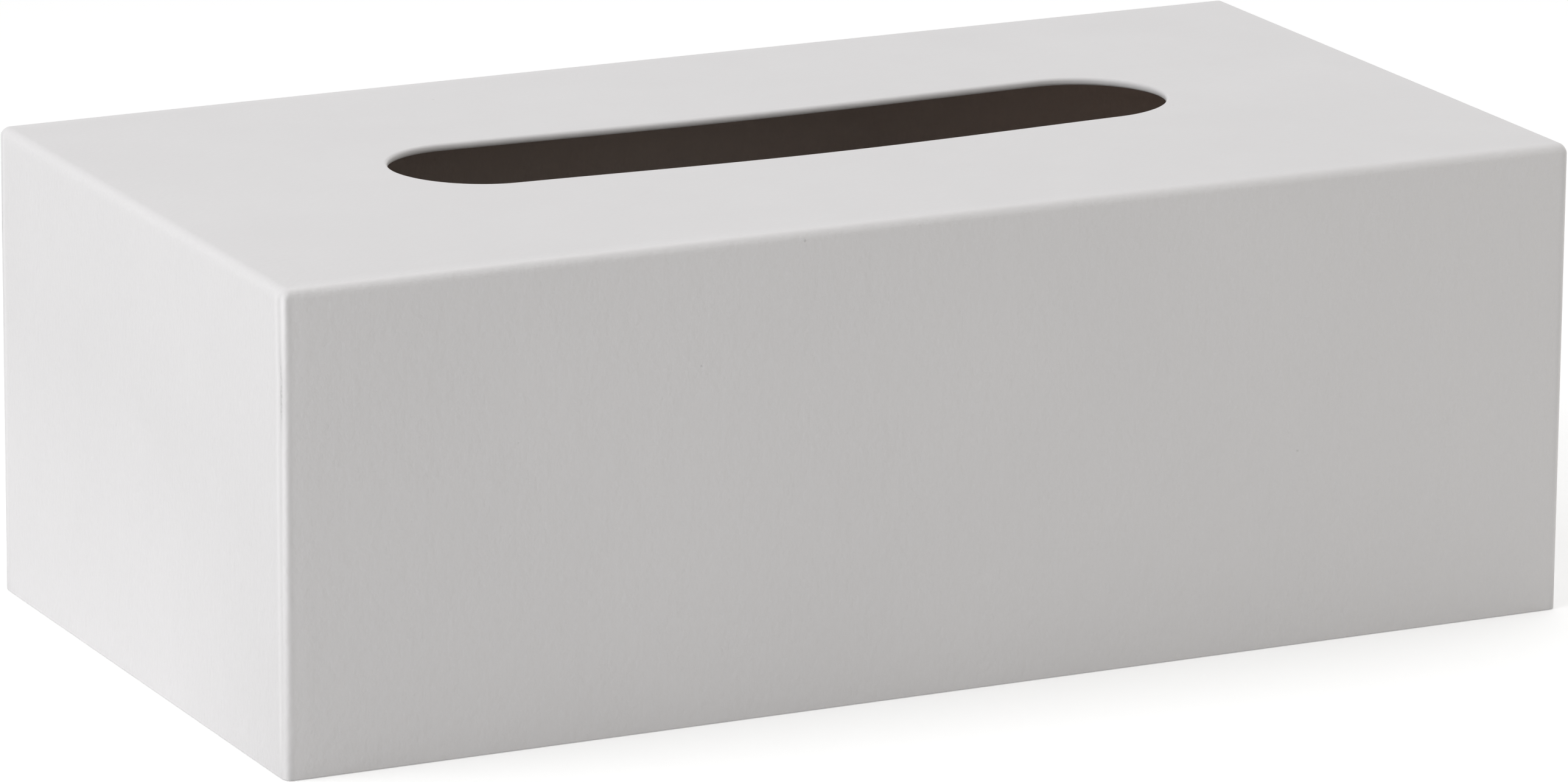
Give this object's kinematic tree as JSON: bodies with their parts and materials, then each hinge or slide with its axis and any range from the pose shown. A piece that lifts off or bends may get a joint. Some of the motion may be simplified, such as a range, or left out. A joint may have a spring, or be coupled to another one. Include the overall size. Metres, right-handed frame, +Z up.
{
  "type": "tissue box cover",
  "caption": "Rectangular powder-coated steel cover for a tissue carton, folded from one sheet, open underneath, with a round-ended dispensing slot in its top.",
  "frame": {"origin": "middle of the rectangle that the lower rim stands on", "axes": "+X along the cover's length and the slot, +Y across it, +Z up through the slot"},
  "size_m": [0.26, 0.135, 0.09],
  "materials": {
    "powder_coat": "matt to satin powder coat, pale warm grey, fine orange peel"
  },
  "bodies": {
    "root": {"tissue_box_cover": "powder_coat"}
  },
  "joints": []
}
